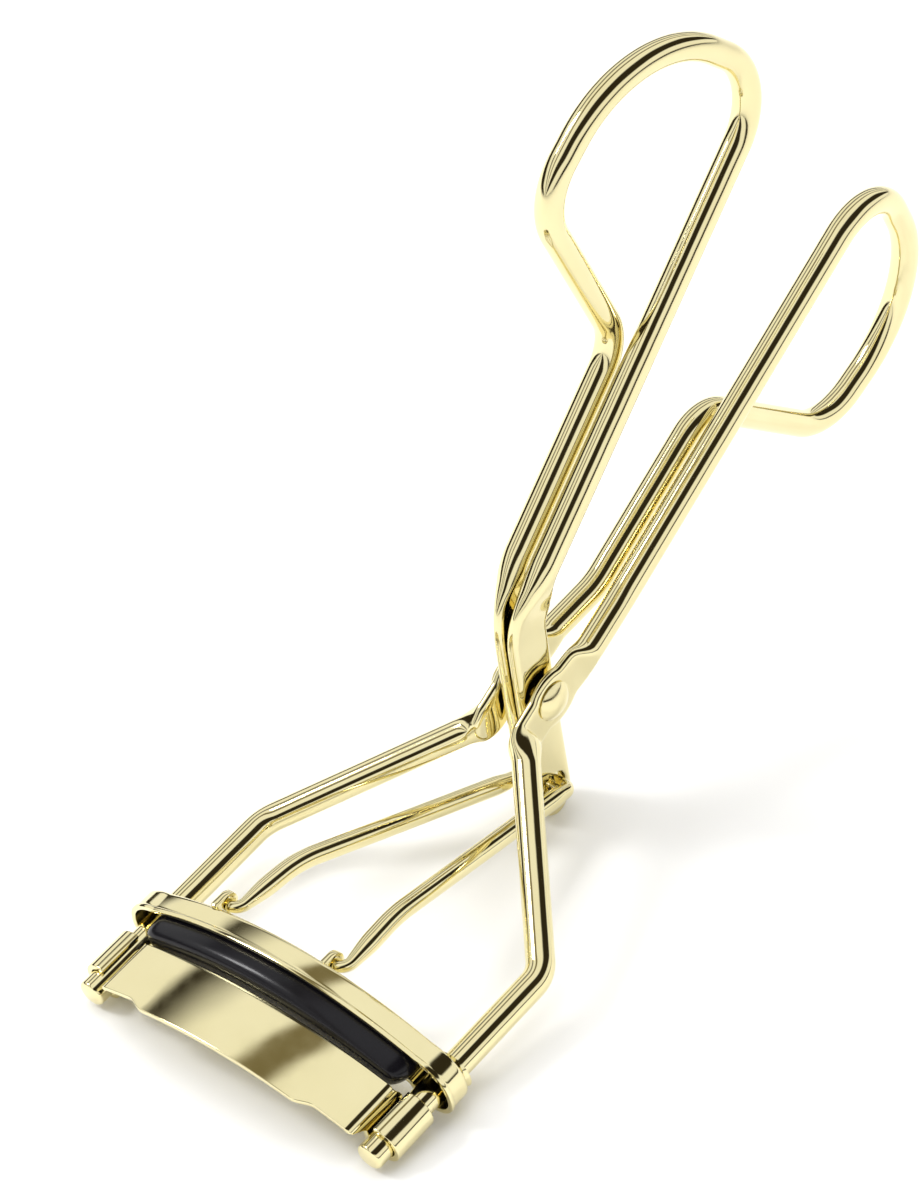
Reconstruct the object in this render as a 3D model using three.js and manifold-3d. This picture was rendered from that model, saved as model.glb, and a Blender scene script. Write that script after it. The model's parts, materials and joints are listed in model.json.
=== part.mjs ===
// An eyelash curler: a bent wire frame with a curved jaw plate crimped on its two rods,
// a second bent wire as the lever, and a padded channel that two link wires pull along the rods.
//
// Everything is drawn in the rods' own directions: x across the jaw, y along the rods from
// their tips to the handles, z to the front. The last group tilts that drawing to stand it
// on the ends of the jaw and the tip of the lever, with its lowest point on z = 0.

import * as THREE from 'three';
import { mergeVertices } from 'three/addons/utils/BufferGeometryUtils.js';
import Module from 'manifold-3d';

const wasm = await Module();
wasm.setup();

// ---------------------------------------------------------------- driving sizes, mm

const WIRE = 2.9; // frame and lever wire diameter
const LINK_WIRE = 2.0;
const SHEET = 0.6; // jaw plate and channel
const ROD_SPACING = 36; // centre to centre

const ROD_TIP_Y = -1.0;
const SHOULDER_Y = 24.8; // where the rods turn in to the pivot
const KNEE_Y = 42.95;
const KNEE_Z = 6.95;
const PIVOT_Y = 47.2;
const PIVOT_Z = 9.0;

const FLAT = 1.25; // thickness of the wire where it is pressed flat
const FLAT_WIDE = 5.3;
const PRESS_SQUARE = 1.6; // how far the round is squared off where it is pressed
const PRESS_NEAR = 4.2; // the frame is fully flat this near the rivet, and round beyond PRESS_FAR
const PRESS_FAR = 6.8;
const LOBE_R = 3.39; // the frame's pressed ears about the rivet
const LOBE_UP = 0.5;
const LOBE_BACK = 0.4;
const STRAND_GAP = 0.4; // between the two strands of a handle
const LAYER_GAP = 0.3; // between the pressed layers on the rivet
const RIVET = 2.4;
const RIVET_HEAD = 4.2;

const ARM_REACH = 13.1; // rivet to link hole
const LINK_HOLE = 3.5;
const HOLE_DROP = 0.95; // the hole's place along the rods, below the rivet
const ARM_PAST_HOLE = 0.9; // centre of the arm's round end, past the hole
const ARM_STEP = 5.6; // the arm's upper bend, below the bend into the handle
const ARM_PRESS_FROM = 4.2;
const ARM_PRESS_TO = 0.6;
const LEVER_BEND_RISE = 14.2; // rivet to the bend into the lever's handle
const FRAME_ANGLE = THREE.MathUtils.degToRad(23.8); // handle directions from the rods
const LEVER_ANGLE = THREE.MathUtils.degToRad(36.6);
const FRAME_NECK = 35.1; // rivet to the neck of the finger loop
const LEVER_NECK = 37.6;
const FRAME_NECK_TURN = THREE.MathUtils.degToRad(-5.3); // necks off their handles' directions
const LEVER_NECK_TURN = THREE.MathUtils.degToRad(14.9);
const FRAME_SHANK_RISE = 12.8; // rivet to where the frame's handle runs straight
const LOOP_LONG = 27.5;
const LOOP_WIDE = 22.3;

const PLATE_TOP_Y = 5.5;
const PLATE_LOW_Y = -0.8;
const PLATE_STEP = 0.8; // the lower edge drops by this between its two steps
const STEP_HALF = 0.9; // half the length of a step
const PLATE_BOW = 2.45; // how far the plate's middle stands in front of its ends
const PLATE_FRONT_Z = 2.6; // front of the plate at its ends
const BARREL_LOW_Y = 0.9;
const BARREL_TOP_Y = 6.1;

const CHANNEL_LOW_Y = 8.1;
const CHANNEL_HIGH_Y = 10.85;
const CHANNEL_BOW = 3.9;
const CHANNEL_FRONT_Z = 3.95; // front of the channel in line with the rods
const CHANNEL_DEEP = 5.6;
const CHANNEL_END_R = 2.7; // round end about each rod
const BOW_END = 1.1; // the bowed front stops this far inside the rods' centres
const BACK_END = 2.7; // and the bowed back this far
const PAD_FRONT_END = 0.7; // the pad's ends, inside the rods' centres
const PAD_BACK_END = 2.6;

const CLEARANCE = 0.3;
const CRIMP_GAP = 0.1;

// ---------------------------------------------------------------- derived sizes

const HALF = ROD_SPACING / 2;
const WIRE_R = WIRE / 2;
const LINK_R = LINK_WIRE / 2;
const STRAND_X = WIRE_R + STRAND_GAP / 2;
const LEVER_FLAT_X = STRAND_GAP / 2 + FLAT / 2;
const FRAME_FLAT_X = STRAND_GAP / 2 + FLAT + LAYER_GAP + FLAT / 2;
const STACK_X = FRAME_FLAT_X + FLAT / 2; // outer face of the pressed stack
const HOLE_Y = PIVOT_Y - HOLE_DROP;
const HOLE_Z = PIVOT_Z - ARM_REACH;
const ARM_END_Z = HOLE_Z - ARM_PAST_HOLE;
const ARM_END_R = FLAT_WIDE / 2;
const BARREL_IN = WIRE_R + CRIMP_GAP;
const BARREL_OUT = BARREL_IN + SHEET;

const LINK_PIN_R = 0.62; // the hooked ends are drawn thinner
const PIN_OFFSET = LINK_PIN_R + 0.15; // two hooks lie side by side in the link hole
const LINK_RUN_X = STRAND_GAP / 2 + FLAT + LAYER_GAP + LINK_R + 0.1;
const EAR_THICK = 0.8;
const EAR_HOLE_R = LINK_PIN_R + CLEARANCE;
const EAR_R = EAR_HOLE_R + 0.55;
const EAR_Y = CHANNEL_HIGH_Y + 1.25;
const EAR_Z = 5.5;
const HOOK_SHIFT_X = -1.8; // both links hook in from the right, which sets the pair off centre
const HOOK_SPREAD_X = 6.9;

// ---------------------------------------------------------------- helpers

const v = (x, y, z) => new THREE.Vector3(x, y, z);

function solid(geometry) {
  const bare = geometry.clone();
  bare.deleteAttribute('normal');
  bare.deleteAttribute('uv');
  const merged = mergeVertices(bare, 1e-4);
  const mesh = new wasm.Mesh({
    numProp: 3,
    vertProperties: new Float32Array(merged.attributes.position.array),
    triVerts: new Uint32Array(merged.index.array),
  });
  return new wasm.Manifold(mesh);
}

function geometryOf(manifold) {
  const mesh = manifold.getMesh();
  const geometry = new THREE.BufferGeometry();
  geometry.setAttribute('position', new THREE.BufferAttribute(mesh.vertProperties, 3));
  geometry.setIndex(new THREE.BufferAttribute(mesh.triVerts, 1));
  geometry.computeVertexNormals();
  return geometry;
}

function part(name, manifold, colour, roughness, metalness) {
  const material = new THREE.MeshStandardMaterial({ color: colour, roughness, metalness });
  const mesh = new THREE.Mesh(geometryOf(manifold), material);
  mesh.name = name;
  return mesh;
}

// Straight runs joined by round bends; every corner is { at, bend }.
function bentPath(corners) {
  const path = new THREE.CurvePath();
  let from = corners[0].at;
  for (let i = 1; i < corners.length - 1; i += 1) {
    const { at, bend } = corners[i];
    const into = at.clone().sub(corners[i - 1].at).normalize();
    const out = corners[i + 1].at.clone().sub(at).normalize();
    const turn = into.angleTo(out);
    const cut = bend * Math.tan(turn / 2);
    const handle = (4 / 3) * bend * Math.tan(turn / 4);
    const start = at.clone().addScaledVector(into, -cut);
    const end = at.clone().addScaledVector(out, cut);
    const leave = start.clone().addScaledVector(into, handle);
    const arrive = end.clone().addScaledVector(out, -handle);
    path.add(new THREE.LineCurve3(from, start));
    path.add(new THREE.CubicBezierCurve3(start, leave, arrive, end));
    from = end;
  }
  path.add(new THREE.LineCurve3(from, corners[corners.length - 1].at));
  return path;
}

function circle(radius) {
  const shape = new THREE.Shape();
  shape.absarc(0, 0, radius, 0, Math.PI * 2);
  return shape;
}

function wire(path, radius, stepLength, sides) {
  const steps = Math.ceil(path.getLength() / stepLength);
  const geometry = new THREE.ExtrudeGeometry(circle(radius), {
    steps,
    curveSegments: sides / 2,
    extrudePath: path,
  });
  geometry.userData = { path, radius, steps };
  return geometry;
}

// Presses a wire into a strip: form(ring centre) gives how flat it is there, from 0 to 1.
// Every vertex is first matched with the ring of the sweep that it was made on.
function pressed(geometry, form) {
  const { path, radius, steps } = geometry.userData;
  const rings = path.getSpacedPoints(steps).map((centre, i) => ({
    centre,
    along: path.getTangent(i / steps),
  }));
  const position = geometry.attributes.position;
  const offset = new THREE.Vector3();
  for (let i = 0; i < position.count; i += 1) {
    let best = null;
    let bestMiss = Infinity;
    for (const ring of rings) {
      offset.fromBufferAttribute(position, i).sub(ring.centre);
      const miss = (offset.length() - radius) ** 2 + offset.dot(ring.along) ** 2;
      if (miss < bestMiss) {
        best = ring;
        bestMiss = miss;
      }
    }
    offset.fromBufferAttribute(position, i).sub(best.centre);
    const flat = form(best.centre);
    const thick = THREE.MathUtils.lerp(radius, FLAT / 2, flat);
    const squared = THREE.MathUtils.lerp(1, PRESS_SQUARE, flat);
    const wide = THREE.MathUtils.lerp(1, FLAT_WIDE / (2 * radius), flat);
    const x = THREE.MathUtils.clamp((offset.x / radius) * thick * squared, -thick, thick);
    position.setXYZ(
      i,
      best.centre.x + x,
      best.centre.y + offset.y * wide,
      best.centre.z + offset.z * wide,
    );
  }
  return geometry;
}

function extrudeAlongY(shape, low, high) {
  const geometry = new THREE.ExtrudeGeometry(shape, { depth: high - low, bevelEnabled: false });
  return geometry.rotateX(Math.PI / 2).translate(0, high, 0);
}

function rodAcross(radius, fromX, toX, y, z, sides = 24) {
  const geometry = new THREE.CylinderGeometry(radius, radius, toX - fromX, sides);
  return geometry.rotateZ(Math.PI / 2).translate((fromX + toX) / 2, y, z);
}

// Closed outline of a sheet of even thickness about a centre line in the x-z plane.
function stripShape(line, thickness) {
  const left = [];
  const right = [];
  line.forEach((point, i) => {
    const before = line[Math.max(i - 1, 0)];
    const after = line[Math.min(i + 1, line.length - 1)];
    const along = after.clone().sub(before).normalize();
    const across = new THREE.Vector2(-along.y, along.x).multiplyScalar(thickness / 2);
    left.push(point.clone().add(across));
    right.push(point.clone().sub(across));
  });
  return new THREE.Shape([...left, ...right.reverse()]);
}

// Moves a counter-clockwise outline inwards.
function inset(outline, distance) {
  return outline.map((point, i) => {
    const before = outline[(i + outline.length - 1) % outline.length];
    const after = outline[(i + 1) % outline.length];
    const along = after.clone().sub(before).normalize();
    return point.clone().add(new THREE.Vector2(-along.y, along.x).multiplyScalar(distance));
  });
}

const mirrored = (corners) => corners.map(({ at, bend }) => ({ at: v(-at.x, at.y, at.z), bend }));

// ---------------------------------------------------------------- the two bent wires

// Finger loop in a handle's own directions: s along the straight strand from the neck,
// w to the side. It crosses from the right strand to the left one on its way round.
function loopCorners(neck, angle, side) {
  const along = v(0, Math.cos(angle), Math.sin(angle));
  const across = v(0, -side * Math.sin(angle), side * Math.cos(angle));
  const corner = (x, s, w, bend) => ({
    at: v(x, neck.y, neck.z).addScaledVector(along, s).addScaledVector(across, w),
    bend,
  });
  return [
    corner(STRAND_X, LOOP_LONG, 0, 7),
    corner(0, LOOP_LONG * 0.94, LOOP_WIDE, 13.5),
    corner(-STRAND_X * 0.85, LOOP_LONG * 0.24, LOOP_WIDE, 7),
    corner(-STRAND_X, -1.5, 0, 5),
  ];
}

function neckAt(distance, turn, angle) {
  return v(0, PIVOT_Y + distance * Math.cos(angle + turn), PIVOT_Z + distance * Math.sin(angle + turn));
}

const FRAME_NECK_AT = neckAt(FRAME_NECK, FRAME_NECK_TURN, FRAME_ANGLE);
const LEVER_NECK_AT = neckAt(LEVER_NECK, LEVER_NECK_TURN, LEVER_ANGLE);
const FRAME_SHANK_Y = PIVOT_Y + FRAME_SHANK_RISE;
const FRAME_SHANK_Z = FRAME_NECK_AT.z - (FRAME_NECK_AT.y - FRAME_SHANK_Y) * Math.tan(FRAME_ANGLE);
const LEVER_BEND_Z = PIVOT_Z + LEVER_BEND_RISE;
const LEVER_BEND_Y =
  LEVER_NECK_AT.y - (LEVER_NECK_AT.z - LEVER_BEND_Z) / Math.tan(LEVER_ANGLE);

function frameSolid() {
  const rightSide = [
    { at: v(HALF, ROD_TIP_Y, 0), bend: 0 },
    { at: v(HALF, SHOULDER_Y, 0), bend: 3.6 },
    { at: v(FRAME_FLAT_X, KNEE_Y, KNEE_Z), bend: 2.6 },
    { at: v(FRAME_FLAT_X, PIVOT_Y, PIVOT_Z - 0.3), bend: 6 },
    { at: v(FRAME_FLAT_X, PIVOT_Y + 6.8, PIVOT_Z + 1), bend: 6 },
    { at: v(STRAND_X, FRAME_SHANK_Y, FRAME_SHANK_Z), bend: 10 },
  ];
  const corners = [
    ...rightSide,
    ...loopCorners(FRAME_NECK_AT, FRAME_ANGLE, -1),
    ...mirrored(rightSide).reverse(),
  ];
  const form = (centre) => {
    const distance = Math.hypot(centre.y - PIVOT_Y, centre.z - PIVOT_Z);
    return 1 - THREE.MathUtils.smoothstep(distance, PRESS_NEAR, PRESS_FAR);
  };
  let frame = solid(pressed(wire(bentPath(corners), WIRE_R, 1.3, 12), form));
  for (const side of [-1, 1]) {
    const inner = side * (STACK_X - FLAT);
    const outer = side * STACK_X;
    const [from, to] = [Math.min(inner, outer), Math.max(inner, outer)];
    frame = frame.add(solid(rodAcross(LOBE_R, from, to, PIVOT_Y + LOBE_UP, PIVOT_Z - LOBE_BACK)));
  }
  const hole = rodAcross(RIVET / 2 + CRIMP_GAP, -STACK_X - 1, STACK_X + 1, PIVOT_Y, PIVOT_Z);
  return frame.subtract(solid(hole));
}

function leverSolid() {
  const rightSide = [
    { at: v(LEVER_FLAT_X, HOLE_Y, ARM_END_Z), bend: 0 },
    { at: v(LEVER_FLAT_X, PIVOT_Y - 0.2, PIVOT_Z), bend: 30 },
    { at: v(LEVER_FLAT_X, PIVOT_Y + 0.4, LEVER_BEND_Z - ARM_STEP), bend: 8 },
    { at: v(STRAND_X, LEVER_BEND_Y, LEVER_BEND_Z), bend: 5 },
  ];
  const corners = [
    ...rightSide,
    ...loopCorners(LEVER_NECK_AT, LEVER_ANGLE, 1),
    ...mirrored(rightSide).reverse(),
  ];
  const pressFrom = LEVER_BEND_Z - ARM_PRESS_FROM;
  const pressTo = LEVER_BEND_Z + ARM_PRESS_TO;
  const form = (centre) => 1 - THREE.MathUtils.smoothstep(centre.z, pressFrom, pressTo);
  let lever = solid(pressed(wire(bentPath(corners), WIRE_R, 1.3, 12), form));
  for (const side of [-1, 1]) {
    const inner = side * (STRAND_GAP / 2);
    const outer = side * (STRAND_GAP / 2 + FLAT);
    const [from, to] = [Math.min(inner, outer), Math.max(inner, outer)];
    lever = lever.add(solid(rodAcross(ARM_END_R, from, to, HOLE_Y, ARM_END_Z)));
  }
  const rivetHole = rodAcross(RIVET / 2 + CLEARANCE, -3, 3, PIVOT_Y, PIVOT_Z);
  const linkHole = rodAcross(LINK_HOLE / 2, -3, 3, HOLE_Y, HOLE_Z);
  return lever.subtract(solid(rivetHole)).subtract(solid(linkHole));
}

// ---------------------------------------------------------------- rivet

// A lathed profile about the pivot's axis: shank, domed head on the right, tail on the left.
function rivetSolid() {
  const headFace = STACK_X + 0.05;
  const headHigh = 1.0;
  const dome = (end) => {
    const points = [];
    for (let i = 0; i <= 6; i += 1) {
      const angle = (i / 6) * (Math.PI / 2);
      const radius = (RIVET_HEAD / 2) * Math.cos(angle);
      points.push(new THREE.Vector2(radius, end * (headFace + 0.2 + (headHigh - 0.2) * Math.sin(angle))));
    }
    return points;
  };
  const profile = [
    ...dome(-1).reverse(),
    new THREE.Vector2(RIVET_HEAD / 2, -headFace),
    new THREE.Vector2(RIVET / 2, -headFace),
    new THREE.Vector2(RIVET / 2, headFace),
    new THREE.Vector2(RIVET_HEAD / 2, headFace),
    ...dome(1),
  ];
  profile[0].x = 0;
  profile[profile.length - 1].x = 0;
  const geometry = new THREE.LatheGeometry(profile, 28);
  return solid(geometry.rotateZ(-Math.PI / 2).translate(0, PIVOT_Y, PIVOT_Z));
}

// ---------------------------------------------------------------- fixed jaw

// One strip: the bowed front, then at each end a wall that turns back beside the rod and
// rolls round behind it into an open barrel.
function fixedJawSolid() {
  const wallX = HALF - BARREL_IN - SHEET / 2;
  const frontX = wallX - 0.75;
  const ring = BARREL_IN + SHEET / 2;
  const half = [];
  for (let i = 0; i <= 12; i += 1) {
    const x = (frontX * i) / 12;
    const bow = PLATE_BOW * (1 - (x / (HALF - BARREL_OUT)) ** 2);
    half.push(new THREE.Vector2(x, PLATE_FRONT_Z - SHEET / 2 + bow));
  }
  half.push(new THREE.Vector2(wallX - 0.2, PLATE_FRONT_Z - SHEET / 2 - 0.15));
  half.push(new THREE.Vector2(wallX, PLATE_FRONT_Z - SHEET / 2 - 0.8));
  for (let i = 0; i <= 16; i += 1) {
    const angle = Math.PI + (i / 16) * Math.PI * 1.58;
    half.push(new THREE.Vector2(HALF + ring * Math.cos(angle), ring * Math.sin(angle)));
  }
  const other = half.slice(1).map((point) => new THREE.Vector2(-point.x, point.y));
  const strip = stripShape([...other.reverse(), ...half], SHEET);

  const wallOut = HALF - BARREL_IN + 0.02;
  const stepX = (wallX * 2) / 3;
  const dropY = PLATE_LOW_Y - PLATE_STEP;
  const outline = new THREE.Shape();
  outline.moveTo(-wallOut, PLATE_TOP_Y);
  outline.lineTo(-wallOut, BARREL_TOP_Y);
  outline.lineTo(-HALF - 4, BARREL_TOP_Y);
  outline.lineTo(-HALF - 4, BARREL_LOW_Y);
  outline.lineTo(-wallOut, BARREL_LOW_Y);
  outline.lineTo(-wallOut, PLATE_LOW_Y);
  outline.lineTo(-stepX - STEP_HALF, PLATE_LOW_Y);
  outline.bezierCurveTo(-stepX, PLATE_LOW_Y, -stepX, dropY, -stepX + STEP_HALF, dropY);
  outline.lineTo(stepX - STEP_HALF, dropY);
  outline.bezierCurveTo(stepX, dropY, stepX, PLATE_LOW_Y, stepX + STEP_HALF, PLATE_LOW_Y);
  outline.lineTo(wallOut, PLATE_LOW_Y);
  outline.lineTo(wallOut, BARREL_LOW_Y);
  outline.lineTo(HALF + 4, BARREL_LOW_Y);
  outline.lineTo(HALF + 4, BARREL_TOP_Y);
  outline.lineTo(wallOut, BARREL_TOP_Y);
  outline.lineTo(wallOut, PLATE_TOP_Y);
  const blank = new THREE.ExtrudeGeometry(outline, { depth: 16, bevelEnabled: false, curveSegments: 5 });
  const rolled = solid(extrudeAlongY(strip, dropY - 1, BARREL_TOP_Y + 1));
  return rolled.intersect(solid(blank.translate(0, 0, -6)));
}

// ---------------------------------------------------------------- moving jaw

const channelFront = (x) => CHANNEL_FRONT_Z + CHANNEL_BOW * (1 - (x / HALF) ** 2);

// Outline of the channel seen along the rods, counter-clockwise with z up the page.
function channelOutline() {
  const bowEnd = HALF - BOW_END;
  const backEnd = HALF - BACK_END;
  const end = new THREE.Shape();
  end.moveTo(backEnd, channelFront(backEnd) - CHANNEL_DEEP);
  end.quadraticCurveTo(HALF - 1.8, -CHANNEL_END_R, HALF, -CHANNEL_END_R);
  end.absarc(HALF, 0, CHANNEL_END_R, -Math.PI / 2, 0);
  end.quadraticCurveTo(HALF + CHANNEL_END_R, channelFront(HALF) * 0.9, bowEnd, channelFront(bowEnd));
  const right = end.getPoints(6);
  const front = [];
  const back = [];
  for (let i = 1; i < 16; i += 1) {
    const x = bowEnd * (1 - i / 8);
    front.push(new THREE.Vector2(x, channelFront(x)));
    const backX = -backEnd * (1 - i / 8);
    back.push(new THREE.Vector2(backX, channelFront(backX) - CHANNEL_DEEP));
  }
  const left = right.map((point) => new THREE.Vector2(-point.x, point.y)).reverse();
  return [...right, ...front, ...left, ...back];
}

const hookX = (side) => side * HOOK_SPREAD_X + HOOK_SHIFT_X;
const earX = (side) => hookX(side) - LINK_R - EAR_THICK / 2 - CLEARANCE / 2;

function movingJawSolid() {
  const outline = channelOutline();
  let jaw = solid(extrudeAlongY(new THREE.Shape(outline), CHANNEL_LOW_Y, CHANNEL_HIGH_Y));
  const hollow = new THREE.Shape(inset(outline, SHEET));
  jaw = jaw.subtract(solid(extrudeAlongY(hollow, CHANNEL_LOW_Y - 1, CHANNEL_HIGH_Y - SHEET)));
  for (const side of [-1, 1]) {
    const bore = circle(WIRE_R + CLEARANCE);
    const hole = extrudeAlongY(bore, CHANNEL_LOW_Y, CHANNEL_HIGH_Y + 1).translate(side * HALF, 0, 0);
    jaw = jaw.subtract(solid(hole));
    const from = earX(side) - EAR_THICK / 2;
    const to = from + EAR_THICK;
    const footHigh = EAR_Y - CHANNEL_HIGH_Y + SHEET / 2;
    const foot = new THREE.BoxGeometry(EAR_THICK, footHigh, EAR_R * 2);
    foot.translate(earX(side), EAR_Y - footHigh / 2, EAR_Z);
    jaw = jaw.add(solid(foot)).add(solid(rodAcross(EAR_R, from, to, EAR_Y, EAR_Z)));
    jaw = jaw.subtract(solid(rodAcross(EAR_HOLE_R, from - 1, to + 1, EAR_Y, EAR_Z, 16)));
  }
  return jaw;
}

// The pad fills the channel and stands out of it down to the plate's edge.
function padSolid() {
  const gap = SHEET + CLEARANCE;
  const frontEnd = HALF - PAD_FRONT_END;
  const backEnd = HALF - PAD_BACK_END;
  const front = [];
  const back = [];
  for (let i = 0; i <= 16; i += 1) {
    const x = frontEnd * (1 - i / 8);
    front.push(new THREE.Vector2(x, channelFront(x) - gap));
    const backX = -backEnd * (1 - i / 8);
    back.push(new THREE.Vector2(backX, channelFront(backX) - CHANNEL_DEEP + gap));
  }
  const shape = new THREE.Shape([...front, ...back]);
  return solid(extrudeAlongY(shape, PLATE_TOP_Y + CLEARANCE, CHANNEL_HIGH_Y - SHEET - CLEARANCE));
}

// ---------------------------------------------------------------- link wires

// Each link hooks through its ear at one end and through the lever's link hole at the other.
function linkSolid(side) {
  const pinY = HOLE_Y + side * PIN_OFFSET;
  const corners = [
    { at: v(hookX(side), EAR_Y, EAR_Z), bend: 0 },
    { at: v(hookX(side) - side * 0.6, EAR_Y + 8, EAR_Z - 0.5), bend: 14 },
    { at: v(side * LINK_RUN_X, pinY - 1.6, HOLE_Z + 0.6), bend: 3 },
    { at: v(side * LINK_RUN_X, pinY, HOLE_Z), bend: 0 },
  ];
  const run = solid(wire(bentPath(corners), LINK_R, 1.6, 10));
  const tipX = side * (STRAND_GAP / 2 + FLAT + 0.1);
  const ends = [Math.min(side * LINK_RUN_X, -tipX), Math.max(side * LINK_RUN_X, -tipX)];
  const leverPin = solid(rodAcross(LINK_PIN_R, ends[0], ends[1], pinY, HOLE_Z, 12));
  const earTip = earX(side) - EAR_THICK / 2 - 0.5;
  const earPin = solid(rodAcross(LINK_PIN_R, earTip, hookX(side), EAR_Y, EAR_Z, 12));
  const elbow = new THREE.SphereGeometry(LINK_R, 12, 8);
  const lower = solid(elbow.clone().translate(hookX(side), EAR_Y, EAR_Z));
  const upper = solid(elbow.clone().translate(side * LINK_RUN_X, pinY, HOLE_Z));
  return run.add(leverPin).add(earPin).add(lower).add(upper);
}

// ---------------------------------------------------------------- assembly

const GOLD = '#d9c98a';
const BLACK = '#0b0b0d';

const tilted = new THREE.Group();
tilted.add(
  part('frame_wire', frameSolid(), GOLD, 0.12, 1),
  part('lever_wire', leverSolid(), GOLD, 0.12, 1),
  part('pivot_rivet', rivetSolid(), GOLD, 0.15, 1),
  part('fixed_jaw', fixedJawSolid(), GOLD, 0.12, 1),
  part('moving_jaw', movingJawSolid(), GOLD, 0.12, 1),
  part('silicone_pad', padSolid(), BLACK, 0.3, 0),
  part('link_wire_left', linkSolid(-1), GOLD, 0.15, 1),
  part('link_wire_right', linkSolid(1), GOLD, 0.15, 1),
);

// Stand it on the jaw's barrels and the lever's tip.
const tipDrop = ARM_END_R - ARM_END_Z - BARREL_OUT;
tilted.rotation.x = Math.atan2(tipDrop, HOLE_Y - BARREL_LOW_Y);

const curler = new THREE.Group();
curler.name = 'eyelash_curler';
curler.add(tilted);
curler.updateMatrixWorld(true);
const box = new THREE.Box3().setFromObject(curler, true);
tilted.position.set(-(box.min.x + box.max.x) / 2, -(box.min.y + box.max.y) / 2, -box.min.z);
curler.updateMatrixWorld(true);

export default curler;
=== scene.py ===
import json
import math

import bmesh
import bpy
from mathutils import Matrix, Vector


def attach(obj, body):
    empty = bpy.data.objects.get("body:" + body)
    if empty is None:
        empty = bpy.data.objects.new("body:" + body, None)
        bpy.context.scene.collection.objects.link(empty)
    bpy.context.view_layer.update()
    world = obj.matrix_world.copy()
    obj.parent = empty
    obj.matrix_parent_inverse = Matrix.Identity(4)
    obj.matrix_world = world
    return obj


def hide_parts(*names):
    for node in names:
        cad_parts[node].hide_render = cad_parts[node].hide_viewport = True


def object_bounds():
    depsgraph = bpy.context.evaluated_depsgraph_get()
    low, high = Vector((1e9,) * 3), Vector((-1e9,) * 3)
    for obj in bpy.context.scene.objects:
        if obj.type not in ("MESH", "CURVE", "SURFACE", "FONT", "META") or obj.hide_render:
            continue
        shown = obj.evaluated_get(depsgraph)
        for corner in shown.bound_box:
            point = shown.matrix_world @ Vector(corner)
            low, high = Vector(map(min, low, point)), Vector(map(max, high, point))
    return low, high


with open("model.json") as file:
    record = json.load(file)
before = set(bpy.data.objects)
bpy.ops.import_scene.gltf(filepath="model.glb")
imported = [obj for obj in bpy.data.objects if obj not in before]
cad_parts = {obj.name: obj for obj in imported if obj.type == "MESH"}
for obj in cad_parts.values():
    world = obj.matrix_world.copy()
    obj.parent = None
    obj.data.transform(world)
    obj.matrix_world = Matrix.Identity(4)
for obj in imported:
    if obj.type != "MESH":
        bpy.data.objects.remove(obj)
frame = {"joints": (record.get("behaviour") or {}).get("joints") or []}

cad_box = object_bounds()

# The camera looks down at the jaws from the front right, through a long portrait lens.
# It leans a little, so that the handles run up across the picture.
low, high = cad_box
camera_turn = math.radians(44.845)
camera_height = math.radians(41.296)
camera_roll = math.radians(6.49)
camera_away = 0.49216
aim_off_centre = Vector((-0.00599, -0.0095, -0.0128))
camera_aim = (Vector(low) + Vector(high)) / 2 + aim_off_centre
camera_back = Vector((
    math.sin(camera_turn) * math.cos(camera_height),
    -math.cos(camera_turn) * math.cos(camera_height),
    math.sin(camera_height),
))
level_right = Vector((math.cos(camera_turn), math.sin(camera_turn), 0))
camera_up = camera_back.cross(level_right) * math.cos(camera_roll) + level_right * math.sin(camera_roll)
camera_right = camera_up.cross(camera_back)
lens = bpy.data.cameras.new("portrait_lens")
lens.lens = 152.1
lens.sensor_width = 36
camera = bpy.data.objects.new("camera", lens)
camera.matrix_world = (
    Matrix.Translation(camera_aim + camera_back * camera_away)
    @ Matrix((camera_right, camera_up, camera_back)).transposed().to_4x4()
)
bpy.context.scene.collection.objects.link(camera)
bpy.context.scene.camera = camera
bpy.context.scene.view_settings.view_transform = "Standard"

# The tool lies on a plain white tabletop of smooth laminate, wide enough to run
# out of sight on every side.
table_size = 6.0
table_squares = 24


def finish_nodes(name):
    finish = bpy.data.materials.new(name)
    finish.use_nodes = True
    return finish, finish.node_tree.nodes, finish.node_tree.links.new


laminate, nodes, link = finish_nodes("white_laminate")
shader = nodes["Principled BSDF"]
shader.inputs["Roughness"].default_value = 0.6
shader.inputs["Specular IOR Level"].default_value = 0.2
spot = nodes.new("ShaderNodeTexCoord")
cloud = nodes.new("ShaderNodeTexNoise")
cloud.inputs["Scale"].default_value = 4
link(spot.outputs["Object"], cloud.inputs["Vector"])
white = nodes.new("ShaderNodeMix")
white.data_type = "RGBA"
white.inputs["A"].default_value = (0.93, 0.93, 0.93, 1)
white.inputs["B"].default_value = (0.97, 0.97, 0.97, 1)
link(cloud.outputs["Fac"], white.inputs["Factor"])
link(white.outputs["Result"], shader.inputs["Base Color"])

tabletop = bmesh.new()
bmesh.ops.create_grid(tabletop, x_segments=table_squares, y_segments=table_squares, size=table_size / 2)
table_mesh = bpy.data.meshes.new("tabletop")
tabletop.to_mesh(table_mesh)
tabletop.free()
table_mesh.materials.append(laminate)
table = bpy.data.objects.new("tabletop", table_mesh)
bpy.context.scene.collection.objects.link(table)

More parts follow.
